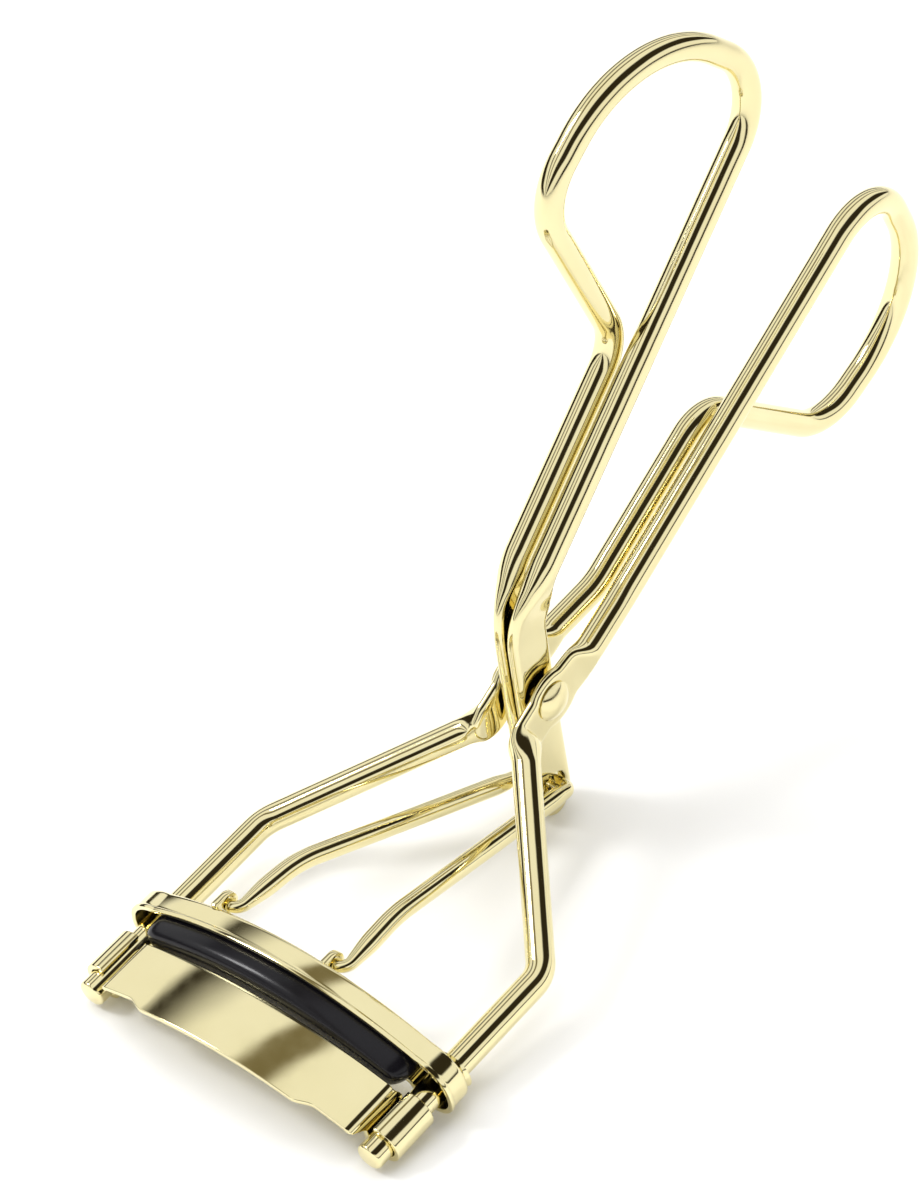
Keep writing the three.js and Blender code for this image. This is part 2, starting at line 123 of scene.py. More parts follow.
# The studio is a white room with the lamps behind large sheets of diffuser.
# Dark gaps between the sheets give polished metal its long brown streaks.
sheet_sag = 0.16
gap = (0.030, 0.024, 0.014)
warm = (0.20, 0.17, 0.10)
lit = (1.0, 1.0, 1.0)
room = bpy.data.worlds.new("studio")
bpy.context.scene.world = room
room.use_nodes = True
nodes = room.node_tree.nodes
link = room.node_tree.links.new
glow = nodes["Background"]
way = nodes.new("ShaderNodeTexCoord")
warp = nodes.new("ShaderNodeTexNoise")
warp.inputs["Scale"].default_value = 1.6
warp.inputs["Detail"].default_value = 1
link(way.outputs["Generated"], warp.inputs["Vector"])
sway = nodes.new("ShaderNodeVectorMath")
sway.operation = "MULTIPLY_ADD"
sway.inputs[1].default_value = (sheet_sag, sheet_sag, sheet_sag)
link(warp.outputs["Color"], sway.inputs[0])
link(way.outputs["Generated"], sway.inputs[2])
parts = nodes.new("ShaderNodeSeparateXYZ")
link(sway.outputs["Vector"], parts.inputs["Vector"])
round_angle = nodes.new("ShaderNodeMath")
round_angle.operation = "ARCTAN2"
link(parts.outputs["Z"], round_angle.inputs[0])
link(parts.outputs["X"], round_angle.inputs[1])
half_turn = nodes.new("ShaderNodeMapRange")
half_turn.inputs["From Max"].default_value = math.pi
link(round_angle.outputs["Value"], half_turn.inputs["Value"])
sheets = nodes.new("ShaderNodeValToRGB")
sheets.color_ramp.interpolation = "EASE"
bands = sheets.color_ramp.elements
bands[0].position = 0.0
bands[0].color = (*gap, 1)
bands[1].position = 1.0
bands[1].color = (*gap, 1)
for position, level in (
    (0.04, gap), (0.08, lit), (0.18, lit), (0.22, gap), (0.38, gap), (0.42, lit), (0.55, lit),
    (0.57, warm), (0.60, warm), (0.62, lit), (0.67, lit), (0.75, gap), (0.77, lit), (0.86, lit),
    (0.89, gap), (0.96, gap),
):
    band = bands.new(position)
    band.color = (*level, 1)
link(half_turn.outputs["Result"], sheets.inputs["Fac"])
link(sheets.outputs["Color"], glow.inputs["Color"])
glow.inputs["Strength"].default_value = 1.0


def softbox(name, at, size, power, shows=False):
    lamp = bpy.data.lights.new(name, "AREA")
    lamp.shape = "RECTANGLE"
    lamp.size, lamp.size_y = size
    lamp.energy = power
    stand = bpy.data.objects.new(name, lamp)
    stand.visible_glossy = shows
    stand.matrix_world = Matrix.Translation(at) @ Vector(at).to_track_quat("Z", "Y").to_matrix().to_4x4()
    bpy.context.scene.collection.objects.link(stand)


softbox("overhead_softbox", (-0.15, 0.25, 1.1), (1.3, 0.9), 7)
softbox("left_softbox", (-1.0, -0.5, 0.7), (0.7, 0.9), 3.2)
softbox("right_softbox", (0.9, -0.35, 0.8), (0.7, 0.8), 2.6)
softbox("small_softbox", (-0.62, -0.36, 0.70), (0.16, 0.26), 3, shows=True)

# The frame is one round brass wire, bent double into a finger loop. Its two strands are
# pressed flat round the rivet, kick out at the knees and run down as the rods.
drawing_mm = 0.001
joints = {joint["name"]: joint for joint in frame["joints"]}
hinge_place = Vector(joints["lever_hinge"]["pos_m"])
rods_way = Vector(joints["jaw_slide"]["axis"])
front_way = Vector((0, -rods_way.z, rods_way.y))
pivot = Vector((0, 47.2, 9.0))
wire_r = 1.45
strand_x = 1.65
pressed_half = 0.625
pressed_wide = 2.65
pressed_square = 1.6
wire_step = 0.4
wire_sides = 40
rod_x = 18.0
press_near, press_far = 4.2, 6.8


def place(point):
    """A point of the drawing (x across, y up the rods, z to the front, in mm) in the row frame."""
    x, y, z = point
    return hinge_place + drawing_mm * (
        Vector((x, 0, 0)) + rods_way * (y - pivot.y) + front_way * (z - pivot.z)
    )


def smooth(value, start, end):
    t = min(max((value - start) / (end - start), 0), 1)
    return t * t * (3 - 2 * t)


def mix(a, b, t):
    return a + (b - a) * t


def bent_path(corners, step=wire_step):
    """Points along straights that are joined by round bends. Each corner is (x, y, z, bend)."""
    points = [Vector(corners[0][:3])]

    def straight(end):
        start = points[-1]
        count = max(1, math.ceil((end - start).length / step))
        points.extend(start.lerp(end, i / count) for i in range(1, count + 1))

    for before, corner, after in zip(corners, corners[1:], corners[2:]):
        at = Vector(corner[:3])
        bend = corner[3]
        into = (at - Vector(before[:3])).normalized()
        out = (Vector(after[:3]) - at).normalized()
        turn = into.angle(out)
        cut = bend * math.tan(turn / 2)
        handle = 4 / 3 * bend * math.tan(turn / 4)
        start = at - into * cut
        end = at + out * cut
        straight(start)
        pulls = (start, start + into * handle, end - out * handle, end)
        count = max(5, math.ceil(bend * turn / step), math.ceil(turn / math.radians(6)))
        for i in range(1, count + 1):
            t = i / count
            weights = ((1 - t) ** 3, 3 * t * (1 - t) ** 2, 3 * t * t * (1 - t), t ** 3)
            points.append(sum((w * p for w, p in zip(weights, pulls)), Vector()))
    straight(Vector(corners[-1][:3]))
    return points


def finger_loop(neck_y, neck_z, lean_degrees, side):
    """The corners of a finger loop, from the straight strand's end round to the neck."""
    lean = math.radians(lean_degrees)
    corners = []
    for x, along, across, bend in (
        (strand_x, 27.5, 0, 7), (0, 25.85, 22.3, 13.5), (-1.4, 6.6, 22.3, 7), (-strand_x, -1.5, 0, 5),
    ):
        y = neck_y + along * math.cos(lean) - side * across * math.sin(lean)
        z = neck_z + along * math.sin(lean) + side * across * math.cos(lean)
        corners.append((x, y, z, bend))
    return corners


def mirrored(corners):
    return [(-x, *rest) for x, *rest in reversed(corners)]


def wire_tree():
    """Sweeps a round section along the guide, then presses it to each point's own thickness and widths."""
    tree = bpy.data.node_groups.new("drawn_and_pressed_wire", "GeometryNodeTree")
    for label, way_in, kind in (
        ("Guide", "INPUT", "NodeSocketGeometry"), ("Sides", "INPUT", "NodeSocketInt"),
        ("Finish", "INPUT", "NodeSocketMaterial"), ("Wire", "OUTPUT", "NodeSocketGeometry"),
    ):
        tree.interface.new_socket(label, in_out=way_in, socket_type=kind)
    link = tree.links.new

    def node(kind, **settings):
        made = tree.nodes.new(kind)
        for key, value in settings.items():
            setattr(made, key, value)
        return made

    def stored(label, kind="FLOAT"):
        made = node("GeometryNodeInputNamedAttribute", data_type=kind)
        made.inputs["Name"].default_value = label
        return made.outputs["Attribute"]

    def vector(operation, *sockets):
        made = node("ShaderNodeVectorMath", operation=operation)
        for i, socket in enumerate(sockets):
            if isinstance(socket, tuple):
                made.inputs[i].default_value = socket
            else:
                link(socket, made.inputs[i])
        return made.outputs["Value" if operation == "DOT_PRODUCT" else "Vector"]

    def number(operation, *sockets):
        made = node("ShaderNodeMath", operation=operation)
        for i, socket in enumerate(sockets):
            if isinstance(socket, (int, float)):
                made.inputs[i].default_value = socket
            else:
                link(socket, made.inputs[i])
        return made.outputs["Value"]

    start = node("NodeGroupInput")
    end = node("NodeGroupOutput")
    guide = node("GeometryNodeMeshToCurve")
    link(start.outputs["Guide"], guide.inputs["Mesh"])
    section = node("GeometryNodeCurvePrimitiveCircle")
    section.inputs["Radius"].default_value = wire_r * drawing_mm
    link(start.outputs["Sides"], section.inputs["Resolution"])
    sweep = node("GeometryNodeCurveToMesh")
    sweep.inputs["Fill Caps"].default_value = True
    link(guide.outputs["Curve"], sweep.inputs["Curve"])
    link(section.outputs["Curve"], sweep.inputs["Profile Curve"])

    centre = stored("centre", "FLOAT_VECTOR")
    spot = node("GeometryNodeInputPosition").outputs["Position"]
    out = vector("NORMALIZE", vector("SUBTRACT", spot, centre))
    across = vector("DOT_PRODUCT", out, (1.0, 0.0, 0.0))
    squared = number("MINIMUM", number("MAXIMUM", number("MULTIPLY", across, stored("square")), -1), 1)
    upper = number("GREATER_THAN", vector("DOT_PRODUCT", out, stored("upward", "FLOAT_VECTOR")), 0)
    low_wide = stored("low_wide")
    wide = number("MULTIPLY_ADD", number("SUBTRACT", stored("high_wide"), low_wide), upper, low_wide)
    thick = node("ShaderNodeCombineXYZ")
    link(number("MULTIPLY", squared, stored("half_thick")), thick.inputs["X"])
    spread = node("ShaderNodeVectorMath", operation="SCALE")
    link(vector("MULTIPLY", out, (0.0, 1.0, 1.0)), spread.inputs[0])
    link(wide, spread.inputs["Scale"])
    place_it = node("GeometryNodeSetPosition")
    link(sweep.outputs["Mesh"], place_it.inputs["Geometry"])
    link(
        vector("ADD", centre, vector("ADD", thick.outputs["Vector"], spread.outputs["Vector"])),
        place_it.inputs["Position"],
    )
    real = node("GeometryNodeRealizeInstances")
    link(place_it.outputs["Geometry"], real.inputs["Geometry"])
    coat = node("GeometryNodeSetMaterial")
    link(real.outputs["Geometry"], coat.inputs["Geometry"])
    link(start.outputs["Finish"], coat.inputs["Material"])
    link(coat.outputs["Geometry"], end.inputs["Wire"])
    return tree


wire_nodes = wire_tree()


def evaluated_mesh(obj, name):
    """The object's mesh with its modifiers applied. The object is removed."""
    seen = obj.evaluated_get(bpy.context.evaluated_depsgraph_get())
    solid = bpy.data.objects.new(name, bpy.data.meshes.new_from_object(seen))
    bpy.data.objects.remove(obj)
    solid.data.name = name
    bpy.context.scene.collection.objects.link(solid)
    return solid


def soften(mesh, degrees=38):
    mesh.polygons.foreach_set("use_smooth", [True] * len(mesh.polygons))
    mesh.set_sharp_from_angle(angle=math.radians(degrees))


def wire(name, points, form, finish, sides=wire_sides):
    """A wire along the points. form gives each point's half thickness, two half widths, and squareness."""
    mesh = bpy.data.meshes.new(name)
    mesh.from_pydata([place(p) for p in points], [(i, i + 1) for i in range(len(points) - 1)], [])
    values = {"half_thick": [], "high_wide": [], "low_wide": [], "square": []}
    upward = []
    for i, point in enumerate(points):
        along = points[min(i + 1, len(points) - 1)] - points[max(i - 1, 0)]
        up = Vector((0, -along.z, along.y)).normalized()
        half_thick, high_wide, low_wide, square = form(i, point, up)
        for key, value in zip(values, (half_thick, high_wide, low_wide)):
            values[key].append(value * drawing_mm)
        values["square"].append(square)
        upward.extend(rods_way * up.y + front_way * up.z)
    for key, numbers in values.items():
        mesh.attributes.new(key, "FLOAT", "POINT").data.foreach_set("value", numbers)
    mesh.attributes.new("upward", "FLOAT_VECTOR", "POINT").data.foreach_set("vector", upward)
    centres = [c for p in points for c in place(p)]
    mesh.attributes.new("centre", "FLOAT_VECTOR", "POINT").data.foreach_set("vector", centres)
    guide = bpy.data.objects.new(name + "_guide", mesh)
    bpy.context.scene.collection.objects.link(guide)
    maker = guide.modifiers.new("maker", "NODES")
    maker.node_group = wire_nodes
    sockets = {item.name: item.identifier for item in wire_nodes.interface.items_tree}
    maker[sockets["Sides"]] = sides
    maker[sockets["Finish"]] = finish
    made = evaluated_mesh(guide, name)
    for attribute in (*values, "upward", "centre"):
        if attribute in made.data.attributes:
            made.data.attributes.remove(made.data.attributes[attribute])
    soften(made.data)
    return made


def gold_plate(name, pale, deep, rough, wave, wave_scale):
    """Polished plate: faint tone clouds, buffing haze, hairline scratches and a soft hand-polished wave."""
    finish, nodes, link = finish_nodes(name)
    shader = nodes["Principled BSDF"]
    shader.inputs["Metallic"].default_value = 1.0
    spot = nodes.new("ShaderNodeTexCoord")

    def noise(scale, detail, stretch=(1, 1, 1)):
        turn = nodes.new("ShaderNodeMapping")
        turn.inputs["Scale"].default_value = stretch
        turn.inputs["Rotation"].default_value = (0.4, 0.2, 0.7)
        link(spot.outputs["Object"], turn.inputs["Vector"])
        made = nodes.new("ShaderNodeTexNoise")
        made.inputs["Scale"].default_value = scale
        made.inputs["Detail"].default_value = detail
        link(turn.outputs["Vector"], made.inputs["Vector"])
        return made.outputs["Fac"]

    tone = nodes.new("ShaderNodeMix")
    tone.data_type = "RGBA"
    tone.inputs["A"].default_value = (*pale, 1)
    tone.inputs["B"].default_value = (*deep, 1)
    link(noise(140, 3), tone.inputs["Factor"])
    link(tone.outputs["Result"], shader.inputs["Base Color"])
    haze = nodes.new("ShaderNodeMapRange")
    haze.inputs["From Min"].default_value = 0.35
    haze.inputs["From Max"].default_value = 0.75
    haze.inputs["To Min"].default_value = rough[0]
    haze.inputs["To Max"].default_value = rough[1]
    link(noise(420, 4), haze.inputs["Value"])
    link(haze.outputs["Result"], shader.inputs["Roughness"])
    soft = nodes.new("ShaderNodeBump")
    soft.inputs["Distance"].default_value = wave
    link(noise(wave_scale, 1), soft.inputs["Height"])
    hair = nodes.new("ShaderNodeBump")
    hair.inputs["Strength"].default_value = 0.25
    hair.inputs["Distance"].default_value = 0.0000015
    link(noise(2600, 2, (1, 1, 0.06)), hair.inputs["Height"])
    link(soft.outputs["Normal"], hair.inputs["Normal"])
    link(hair.outputs["Normal"], shader.inputs["Normal"])
    return finish


wire_gold = gold_plate(
    "polished_gold_wire", (0.90, 0.82, 0.50), (0.82, 0.73, 0.40), (0.05, 0.10), 0.00003, 260,
)


def declare(piece, body, slot, *replaced):
    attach(piece, body)
    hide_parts(*replaced)


frame_side = [
    (rod_x, -1, 0), (rod_x, 24.8, 0, 3.6), (2.375, 42.95, 6.95, 2.6), (2.375, 47.2, 8.7, 6),
    (2.375, 54, 10, 6), (strand_x, 60, 11.1, 10),
]
frame_points = bent_path(
    frame_side + finger_loop(80.49, 20.14, 23.8, -1) + mirrored(frame_side)
)
lobe_centre = Vector((0, 47.7, 8.6))
lobe_r = 3.39
tip_chamfer = 0.35
tip_steps = (0.0, 0.06, 0.15, 0.25, tip_chamfer)
frame_start, frame_end = frame_points[0], frame_points[-1]
frame_points = (
    [frame_start + Vector((0, step, 0)) for step in tip_steps]
    + [p for p in frame_points if p.y > frame_start.y + tip_chamfer + 0.1]
    + [frame_end + Vector((0, step, 0)) for step in reversed(tip_steps)]
)


def frame_form(i, point, up):
    flat = 1 - smooth((Vector((0, point.y, point.z)) - pivot).length, press_near, press_far)
    width = mix(wire_r, pressed_wide, flat)
    away = Vector((0, point.y, point.z)) - lobe_centre
    lean = away.dot(up)
    inside = lean * lean - away.length_squared + lobe_r * lobe_r
    high_wide = low_wide = width
    if inside > 0 and away.length < lobe_r + 1:
        high_wide = max(width, math.sqrt(inside) - lean)
        low_wide = max(width, math.sqrt(inside) + lean)
    from_tip = point.y - frame_start.y
    trim = 0
    if from_tip < tip_chamfer:
        trim = tip_chamfer - math.sqrt(max(tip_chamfer ** 2 - (tip_chamfer - from_tip) ** 2, 0))
    half_thick = mix(wire_r, pressed_half, flat)
    return half_thick - trim, high_wide - trim, low_wide - trim, mix(1, pressed_square, flat)


frame_wire = wire("bent_frame_wire", frame_points, frame_form, wire_gold)
declare(frame_wire, "frame", "polished_gold_wire", "frame_wire")

# The lever is a second length of the same wire, bent double the same way. Below the finger
# loop its strands are pressed into two flat arms, round at the end and drilled for the links.
arm_x = 0.825
arm_end = Vector((arm_x, 46.25, -5.0))
link_hole = Vector((0, 46.25, -4.1))
link_hole_r = 1.75
hole_lead = 0.12
round_from, flat_to = 23.8, 19.0
lever_side = [
    (*arm_end,), (arm_x, 47.0, 9, 30), (arm_x, 47.6, 17.6, 8), (strand_x, 50.1, 23.2, 5),
]
lever_points = bent_path(
    lever_side + finger_loop(70.61, 38.43, 36.6, 1) + mirrored(lever_side)
)
arm_way = (lever_points[1] - lever_points[0]).normalized()
end_angles = [math.radians(a) for a in (4, *range(10, 90, 8))]
round_end = [arm_end - arm_way * pressed_wide * math.cos(a) for a in end_angles]
lever_points = round_end + lever_points + [Vector((-p.x, p.y, p.z)) for p in reversed(round_end)]


def lever_form(i, point, up):
    flat = 1 - smooth(point.z, flat_to, round_from)
    width = mix(wire_r, pressed_wide, flat)
    past_end = (arm_end - point).dot(arm_way)
    if past_end > 0:
        width = math.sqrt(max(pressed_wide ** 2 - past_end ** 2, 0))
    return mix(wire_r, pressed_half, flat), width, width, mix(1, pressed_square, flat)


def skin(name, rings, around=False):
    """A mesh over rings of points. Its ends meet when around is true, and are capped otherwise."""
    count = len(rings[0])
    faces = []
    for i in range(len(rings) if around else len(rings) - 1):
        a, b = i * count, (i + 1) % len(rings) * count
        faces.extend(
            (a + j, a + (j + 1) % count, b + (j + 1) % count, b + j) for j in range(count)
        )
    if not around:
        faces.append(tuple(reversed(range(count))))
        faces.append(tuple(range((len(rings) - 1) * count, len(rings) * count)))
    mesh = bpy.data.meshes.new(name)
    mesh.from_pydata([place(p) for ring in rings for p in ring], [], faces)
    shape = bmesh.new()
    shape.from_mesh(mesh)
    bmesh.ops.remove_doubles(shape, verts=shape.verts, dist=0.000001)
    bmesh.ops.recalc_face_normals(shape, faces=shape.faces)
    shape.to_mesh(mesh)
    shape.free()
    piece = bpy.data.objects.new(name, mesh)
    bpy.context.scene.collection.objects.link(piece)
    return piece


def turned(name, profile, axis, centre, sides=64):
    """A turned piece. The profile lists (place along the axis, radius), and axis is 0 for x or 1 for y."""
    rings = []
    for along, radius in profile:
        ring = []
        for j in range(sides):
            a = 2 * math.pi * j / sides
            spoke = (radius * math.cos(a), radius * math.sin(a))
            offset = (along, *spoke) if axis == 0 else (spoke[0], along, spoke[1])
            ring.append(Vector(offset) + centre)
        rings.append(ring)
    return skin(name, rings)


def cut(piece, *cutters):
    """The piece with the cutters taken out of it. The cutters are removed."""
    for cutter in cutters:
        tool = piece.modifiers.new("cut", "BOOLEAN")
        tool.operation = "DIFFERENCE"
        tool.solver = "EXACT"
        tool.object = cutter
    name = piece.name
    piece.name = name + "_blank"
    bpy.context.view_layer.update()
    made = evaluated_mesh(piece, name)
    for cutter in cutters:
        bpy.data.objects.remove(cutter)
    soften(made.data)
    return made


inner_face = arm_x - pressed_half
outer_face = arm_x + pressed_half
half_hole = (
    (inner_face, hole_lead), (inner_face + hole_lead, 0), (outer_face - hole_lead, 0),
    (outer_face, hole_lead), (outer_face + 2 * hole_lead, 3 * hole_lead),
)
hole_profile = [(x, link_hole_r + lead) for x, lead in half_hole]
hole_profile = [(-x, r) for x, r in reversed(hole_profile)] + hole_profile
lever_wire = cut(
    wire("finger_lever", lever_points, lever_form, wire_gold),
    turned("link_hole_drill", hole_profile, 0, link_hole),
)
declare(lever_wire, "lever", "polished_gold_wire", "lever_wire")

# The pivot is a solid rivet through all four flattened strands, set with a low dome
# on both sides.
rivet_r = 1.2
head_r = 2.1
head_base = 3.02
head_rim = 0.2
head_top = 4.05
dome_height = head_top - head_base - head_rim
dome_r = (head_r ** 2 + dome_height ** 2) / (2 * dome_height)
dome_angle = math.asin(head_r / dome_r)
dome_rings = 13
half_rivet = [
    (head_base - 0.04, rivet_r), (head_base, head_r - 0.12),
    (head_base + 0.06, head_r - 0.02), (head_base + 0.14, head_r),
]
for step in range(dome_rings):
    angle = dome_angle * (1 - step / dome_rings)
    rise = dome_r * (math.cos(angle) - math.cos(dome_angle))
    half_rivet.append((head_base + head_rim + rise, dome_r * math.sin(angle)))
half_rivet.append((head_top, 0.02))
rivet = turned(
    "domed_rivet", [(-x, r) for x, r in reversed(half_rivet)] + half_rivet, 0, pivot,
)
rivet.data.materials.append(gold_plate(
    "gold_rivet", (0.89, 0.81, 0.49), (0.81, 0.72, 0.39), (0.10, 0.18), 0.00003, 700,
))
soften(rivet.data)
declare(rivet, "frame", "gold_rivet", "pivot_rivet")

# The fixed jaw is a curved strip of sheet brass. Its ends curl round behind the rods into
# open barrels, and a step trims its lower edge where the strip leaves them.
sheet_gold = gold_plate(
    "polished_gold_sheet", (0.90, 0.82, 0.50), (0.83, 0.74, 0.41), (0.06, 0.13), 0.00004, 150,
)
sheet_half = 0.3
sheet_round = 0.14
jaw_reach = 15.4
jaw_rise = 2.3
jaw_bow = 2.45
jaw_bow_end = 15.85
barrel_r = 1.85
barrel_turn = 284.4
barrel_edges = (0.9, 6.1)
plate_top, plate_low, plate_drop = 5.5, -0.8, -1.6
step_from, step_to = 9.6, 12.0
jaw_stations, wall_stations, barrel_stations = 56, 10, 60


def jaw_front(x):
    return jaw_rise + jaw_bow * (1 - (x / jaw_bow_end) ** 2)


half_strip = [
    Vector((x, 0, jaw_front(x))) for x in [jaw_reach * i / jaw_stations for i in range(jaw_stations + 1)]
]
roll_start = Vector((rod_x - barrel_r, 0, 0))
wall_pulls = (half_strip[-1], Vector((jaw_bow_end, 0, 2.26)), Vector((roll_start.x, 0, 1.75)), roll_start)
for i in range(1, wall_stations):
    t = i / wall_stations
    weights = ((1 - t) ** 3, 3 * t * (1 - t) ** 2, 3 * t * t * (1 - t), t ** 3)
    half_strip.append(sum((w * p for w, p in zip(weights, wall_pulls)), Vector()))
for i in range(barrel_stations + 1):
    angle = math.radians(180 + barrel_turn * i / barrel_stations)
    half_strip.append(Vector((rod_x + barrel_r * math.cos(angle), 0, barrel_r * math.sin(angle))))
strip = [Vector((-p.x, 0, p.z)) for p in reversed(half_strip[1:])] + half_strip


def strip_edges(x, z):
    """The strip's lower and upper edge, in y. Both move out to the barrel's where the wall turns back."""
    leaves = smooth(-z, -2.1, -0.9) if abs(x) > jaw_reach else 0
    low_edge = mix(plate_low, plate_drop, 1 - smooth(abs(x), step_from, step_to))
    return mix(low_edge, barrel_edges[0], leaves), mix(plate_top, barrel_edges[1], leaves)


def rounded_edges(low_edge, high_edge, half, corner):
    """(sideways, y) round a strip's section, with finely rounded corners."""
    section = []
    for side_way, y, start in (
        (half - corner, low_edge + corner, -90), (half - corner, high_edge - corner, 0),
        (corner - half, high_edge - corner, 90), (corner - half, low_edge + corner, 180),
    ):
        for step in range(5):
            angle = math.radians(start + 22.5 * step)
            section.append((side_way + corner * math.cos(angle), y + corner * math.sin(angle)))
    return section


strip_rings = []
for i, point in enumerate(strip):
    along = strip[min(i + 1, len(strip) - 1)] - strip[max(i - 1, 0)]
    out = Vector((-along.z, 0, along.x)).normalized()
    in_barrel = min(i, len(strip) - 1 - i) <= barrel_stations + 1
    low_edge, high_edge = barrel_edges if in_barrel else strip_edges(point.x, point.z)
    ring = []
    for side_way, y in rounded_edges(low_edge, high_edge, sheet_half, sheet_round):
        ring.append(point + out * side_way + Vector((0, y, 0)))
    strip_rings.append(ring)
jaw_plate = skin("curved_jaw_plate", strip_rings)
jaw_plate.data.materials.append(sheet_gold)
soften(jaw_plate.data)
declare(jaw_plate, "frame", "polished_gold_sheet", "fixed_jaw")

# The moving jaw is a shallow pressed channel that holds the pad, open towards the fixed jaw.
# A thin lip runs round its mouth, and its rounded ends are bored to slide on the rods.
channel_end_r = 2.7
channel_deep = 5.6
channel_rise = 3.95
channel_bow = 3.9
front_stations, back_stations, end_stations = 60, 54, 16
bore_r = 1.75
web_top = 10.85


def channel_front(x):
    return channel_rise + channel_bow * (1 - (x / rod_x) ** 2)


def quadratic(start, pull, end, count):
    for i in range(1, count):
        t = i / count
        yield start * (1 - t) ** 2 + pull * 2 * t * (1 - t) + end * t * t


front_end, back_end = 16.9, 15.3
outline = [
    Vector((x, 0, channel_front(x)))
    for x in [front_end * i / front_stations for i in range(front_stations + 1)]
]
outer_end = Vector((rod_x + channel_end_r, 0, 0))
outline += quadratic(outline[-1], Vector((outer_end.x, 0, 3.555)), outer_end, end_stations)
for i in range(end_stations + 1):
    angle = math.radians(-90 * i / end_stations)
    outline.append(Vector((rod_x, 0, 0)) + channel_end_r * Vector((math.cos(angle), 0, math.sin(angle))))
back_join = Vector((back_end, 0, channel_front(back_end) - channel_deep))
outline += quadratic(outline[-1], Vector((16.2, 0, -channel_end_r)), back_join, 12)
outline += [
    Vector((x, 0, channel_front(x) - channel_deep))
    for x in [back_end * i / back_stations for i in range(back_stations, -1, -1)]
]
outline += [Vector((-p.x, 0, p.z)) for p in reversed(outline[1:-1])]
channel_wall = (
    (1.2, 10.25), (0.78, 10.25), (0.66, 10.2), (0.6, 10.08), (0.6, 8.3), (0.55, 8.16), (0.45, 8.1),
    (0.15, 8.1), (0.05, 8.14), (0.0, 8.24), (0.0, 8.46), (0.04, 8.56), (0.12, 8.62), (0.15, 8.70),
    (0.14, 8.9), (0.12, 10.3), (0.15, 10.5), (0.24, 10.67), (0.38, 10.79),
    (0.55, web_top), (1.2, web_top),
)
channel_rings = []
for depth, y in channel_wall:
    ring = []
    for i, point in enumerate(outline):
        along = outline[(i + 1) % len(outline)] - outline[i - 1]
        inward = Vector((along.z, 0, -along.x)).normalized()
        ring.append(point + inward * depth + Vector((0, y, 0)))
    channel_rings.append(ring)
bores = [
    turned(
        "rod_bore", [(9.5, bore_r), (10.72, bore_r), (10.86, bore_r + 0.14), (11.5, bore_r + 0.5)],
        1, Vector((side * rod_x, 0, 0)), sides=48,
    )
    for side in (-1, 1)
]
channel = cut(skin("pad_channel", channel_rings), *bores)
ear_half = 0.4
ear_r = 1.3
ear_hole_r = 0.85
ear_edge = 0.12
ear_foot = 1.5
ear_y, ear_z = 12.1, 5.5
ears = []
for ear_x in (-10.25, 3.55):
    rings = []
    for i in range(56):
        angle = 2 * math.pi * i / 56
        rise, run = math.cos(angle), math.sin(angle)
        outer = ear_r
        if rise < 0:
            outer = min(ear_r / max(abs(run), 0.001), ear_foot / -rise)
        ring = []
        for x, r in (
            (-ear_half, ear_hole_r + ear_edge), (-ear_half, outer - ear_edge),
            (ear_edge * 0.3 - ear_half, outer - ear_edge * 0.3), (ear_edge - ear_half, outer),
            (ear_half - ear_edge, outer), (ear_half - ear_edge * 0.3, outer - ear_edge * 0.3),
            (ear_half, outer - ear_edge), (ear_half, ear_hole_r + ear_edge),
            (ear_half - ear_edge, ear_hole_r), (ear_edge - ear_half, ear_hole_r),
        ):
            ring.append(Vector((ear_x + x, ear_y + rise * r, ear_z + run * r)))
        rings.append(ring)
    ear = skin("ear", rings, around=True)
    soften(ear.data)
    ears.append(ear)


def joined(name, first, *others):
    """One piece from several meshes."""
    shape = bmesh.new()
    for part in (first, *others):
        shape.from_mesh(part.data)
    shape.to_mesh(first.data)
    shape.free()
    for other in others:
        bpy.data.objects.remove(other)
    first.name = name
    return first


channel = joined("pad_channel", channel, *ears)
channel.data.materials.clear()
channel.data.materials.append(sheet_gold)
declare(channel, "jaw", "polished_gold_sheet", "moving_jaw")

# The pad is a curved strip of moulded black silicone, pressed into the channel. Its face
# is round, its ends are blunt, and it has a soft gloss with a faint bloom.
rubber, nodes, link = finish_nodes("black_silicone")
shader = nodes["Principled BSDF"]
shader.inputs["Specular IOR Level"].default_value = 0.22
shader.inputs["Coat Weight"].default_value = 0.08
shader.inputs["Coat Roughness"].default_value = 0.06
spot = nodes.new("ShaderNodeTexCoord")
bloom = nodes.new("ShaderNodeTexNoise")
bloom.inputs["Scale"].default_value = 330
bloom.inputs["Detail"].default_value = 5
link(spot.outputs["Object"], bloom.inputs["Vector"])
black = nodes.new("ShaderNodeMix")
black.data_type = "RGBA"
black.inputs["A"].default_value = (0.003, 0.003, 0.004, 1)
black.inputs["B"].default_value = (0.008, 0.007, 0.010, 1)
link(bloom.outputs["Fac"], black.inputs["Factor"])
link(black.outputs["Result"], shader.inputs["Base Color"])
gloss = nodes.new("ShaderNodeMapRange")
gloss.inputs["To Min"].default_value = 0.16
gloss.inputs["To Max"].default_value = 0.30
link(bloom.outputs["Fac"], gloss.inputs["Value"])
link(gloss.outputs["Result"], shader.inputs["Roughness"])
grain = nodes.new("ShaderNodeTexNoise")
grain.inputs["Scale"].default_value = 3500
link(spot.outputs["Object"], grain.inputs["Vector"])
skin_bump = nodes.new("ShaderNodeBump")
skin_bump.inputs["Strength"].default_value = 0.2
skin_bump.inputs["Distance"].default_value = 0.000004
link(grain.outputs["Fac"], skin_bump.inputs["Height"])
link(skin_bump.outputs["Normal"], shader.inputs["Normal"])

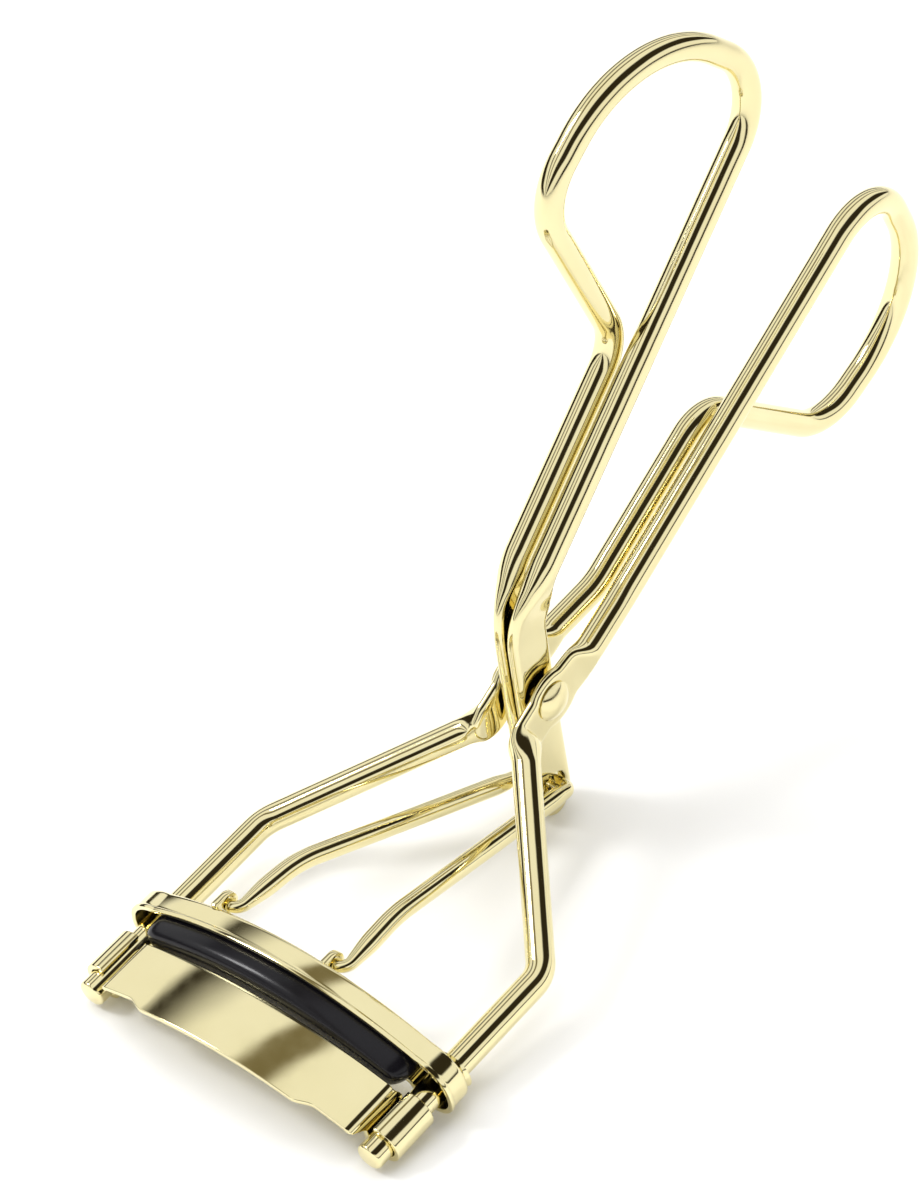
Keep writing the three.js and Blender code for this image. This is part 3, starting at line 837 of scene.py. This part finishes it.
pad_low, pad_high = 5.8, 9.95
pad_front_gap, pad_back_gap = 0.9, 4.7
pad_front_end, pad_back_end = 17.3, 15.4
pad_mid_z = (pad_front_gap + pad_back_gap) / 2
pad_half_z = (pad_back_gap - pad_front_gap) / 2
pad_half_y = (pad_high - pad_low) / 2
pad_end_round = 2.2
pad_stations = 90
pad_sides = 48


def blunt(cosine, power):
    """Squares a round section off: a power of 2 leaves it round."""
    return math.copysign(abs(cosine) ** (2 / power), cosine)


pad_rings = []
end_steps = [math.radians(a) for a in (3, 10, 20, 30, 42, 54, 66, 78)]
runs = [(-1 + pad_end_round / pad_front_end * (1 - math.cos(a)), math.sin(a)) for a in end_steps]
straight_from = -1 + pad_end_round / pad_front_end
runs += [(mix(straight_from, -straight_from, i / pad_stations), 1.0) for i in range(pad_stations + 1)]
runs += [(-run, grow) for run, grow in reversed(runs[:len(end_steps)])]
for run, grow in runs:
    grow = grow ** 0.8
    ring = []
    for j in range(pad_sides):
        angle = 2 * math.pi * j / pad_sides
        side_way = blunt(math.cos(angle), 3.2) * grow
        rise = blunt(math.sin(angle), 3.0) * mix(0.55, 1, grow) * min(1, grow * 1.2)
        reach = mix(pad_back_end, pad_front_end, (side_way + 1) / 2)
        x = run * reach
        z = channel_front(x) - pad_mid_z + side_way * pad_half_z
        ring.append(Vector((x, pad_low + pad_half_y + rise * pad_half_y, z)))
    pad_rings.append(ring)
pad = skin("silicone_strip", pad_rings)
pad.data.materials.append(rubber)
soften(pad.data, 60)
declare(pad, "jaw", "black_silicone", "silicone_pad")

# Two thin link wires join the lever to the channel. Each is one wire with a turned-in pin
# at both ends: one pin hooks through an ear, the other through the lever's drilled arms.
link_gold = gold_plate(
    "gold_link_wire", (0.90, 0.82, 0.50), (0.82, 0.73, 0.40), (0.06, 0.12), 0.00002, 400,
)
link_r = 1.0
pin_r = 0.62
pin_reach = 1.55
pin_past_ear = 0.9
pin_beside = 0.77
run_x = 2.85
tip_round = 0.2
for name, side, hook_x, ear_x in (("left", -1, -8.7, -10.25), ("right", 1, 5.1, 3.55)):
    pin_y = link_hole.y + pin_beside * side
    points = bent_path([
        (ear_x - pin_past_ear, ear_y, ear_z), (hook_x, ear_y, ear_z, 1.1),
        (hook_x - side * 0.6, 20.1, 5.0, 14), (side * run_x, pin_y - 1.6, -3.5, 2.6),
        (side * run_x, pin_y, link_hole.z, 0.9), (-side * pin_reach, pin_y, link_hole.z),
    ], step=0.25)
    lengths = [0.0]
    for before, after in zip(points, points[1:]):
        lengths.append(lengths[-1] + (after - before).length)
    ear_pin = hook_x - ear_x + pin_past_ear
    hole_pin = run_x + pin_reach

    def link_form(i, point, up):
        start = lengths[i]
        end = lengths[-1] - lengths[i]
        r = mix(pin_r, link_r, smooth(start, ear_pin - 0.6, ear_pin + 4.0))
        r = min(r, mix(pin_r, link_r, smooth(end, hole_pin - 1.2, hole_pin + 3.0)))
        r -= tip_round * (1 - min(start / tip_round, end / tip_round, 1)) ** 2
        return r, r, r, 1

    link_wire = wire(name + "_link", points, link_form, link_gold, sides=28)
    declare(link_wire, "link_" + name, "gold_link_wire", "link_wire_" + name)
